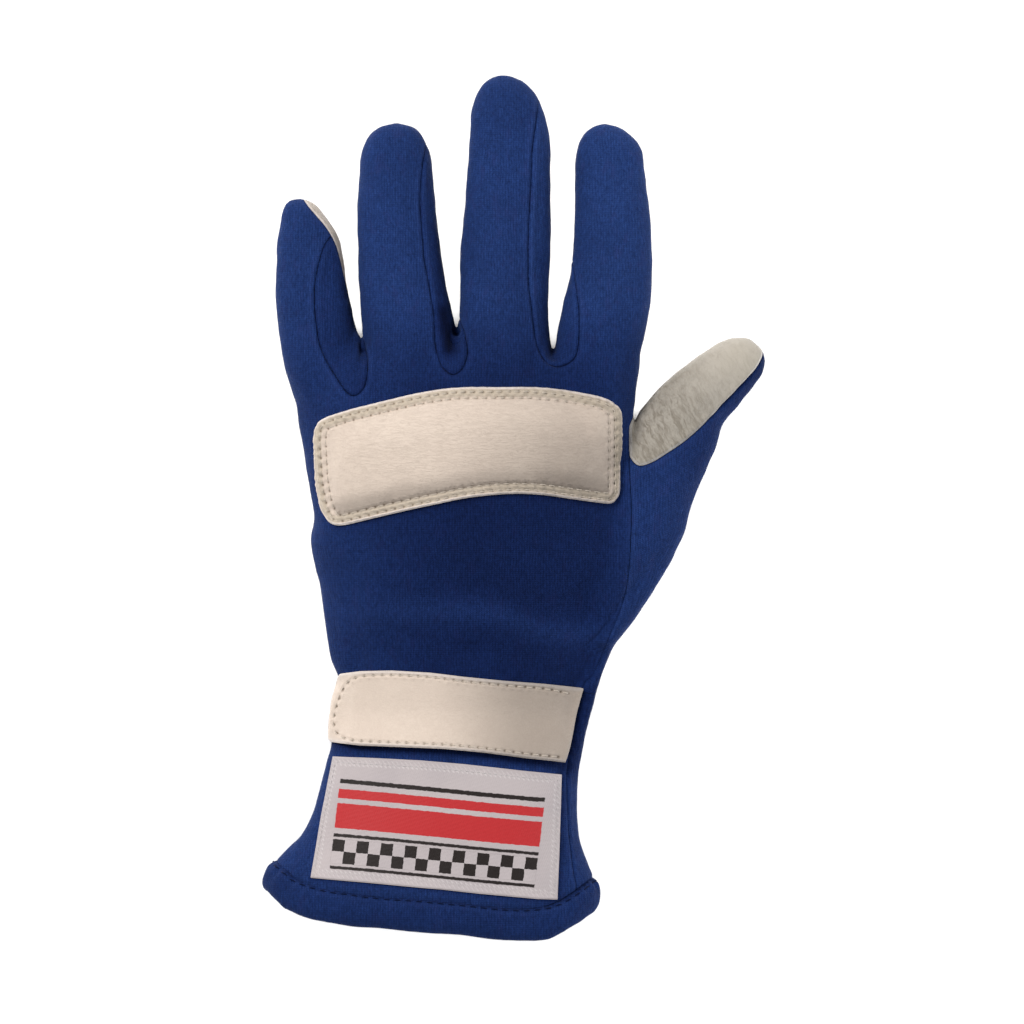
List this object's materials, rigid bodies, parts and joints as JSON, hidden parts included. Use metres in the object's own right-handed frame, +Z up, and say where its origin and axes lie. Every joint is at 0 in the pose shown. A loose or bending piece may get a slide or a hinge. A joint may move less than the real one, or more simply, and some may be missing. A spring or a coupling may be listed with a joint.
{
  "type": "racing glove",
  "caption": "Left-hand driving glove with a knit back, leather palm, padded knuckle patch, wrist strap and flared cuff, lying palm down.",
  "frame": {"origin": "on the surface that the glove lies on, under the centre of its box", "axes": "+Z up, out of the back of the hand; +Y towards the fingertips; +X towards the thumb"},
  "size_m": [0.1596, 0.2766, 0.0433],
  "materials": {
    "knit_fabric": "matt ribbed knit, deep blue",
    "cream_leather": "soft grained leather, pale cream, matt",
    "pad_leather": "fine grained leather, warm cream, matt, stitched edges",
    "woven_label": "woven satin, near white, with a plain striped motif"
  },
  "bodies": {
    "root": {"back_panel": "knit_fabric", "palm_leather": "cream_leather", "cuff_underside": "knit_fabric", "thumb_back": "knit_fabric", "thumb_leather": "cream_leather", "fork_little_ring": "knit_fabric", "fork_ring_middle": "knit_fabric", "fork_middle_index": "knit_fabric", "knuckle_pad": "pad_leather", "wrist_strap": "pad_leather", "label": "woven_label", "cuff_hem": "knit_fabric"}
  },
  "joints": []
}
